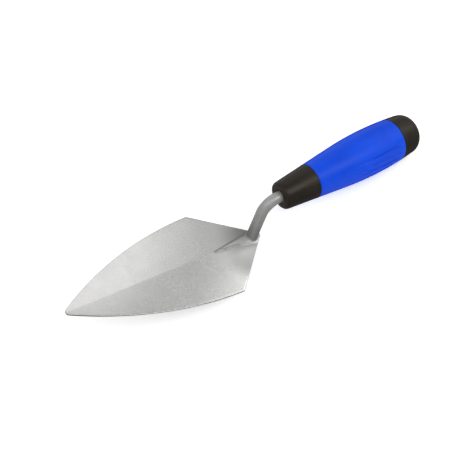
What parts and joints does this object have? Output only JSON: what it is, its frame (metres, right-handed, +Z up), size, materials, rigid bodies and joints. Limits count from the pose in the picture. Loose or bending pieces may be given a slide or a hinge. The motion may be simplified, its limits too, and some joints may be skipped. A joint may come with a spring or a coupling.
{
  "type": "pointing trowel",
  "caption": "Small diamond-bladed pointing trowel with a bent rod shank and a two-material turned handle with finger grooves under the grip.",
  "frame": {"origin": "centre of the footprint on the ground, with the trowel lying on its heel and on the butt of its handle", "axes": "+X towards the blade's point, +Y to the left of someone holding the handle with the blade ahead, +Z up"},
  "size_m": [0.2796, 0.0698, 0.0538],
  "materials": {
    "blade_steel": "ground",
    "shank_steel": "drawn rod, lightly polished",
    "weld_steel": "ground weld",
    "black_plastic": "satin moulded",
    "core_plastic": "moulded, hidden",
    "grip_rubber": "satin soft grip"
  },
  "bodies": {
    "root": {"blade": "blade_steel", "tang": "shank_steel", "weld_bead": "weld_steel", "front_collar": "black_plastic", "handle_core": "core_plastic", "grip_sleeve": "grip_rubber", "end_cap": "black_plastic"}
  },
  "joints": []
}
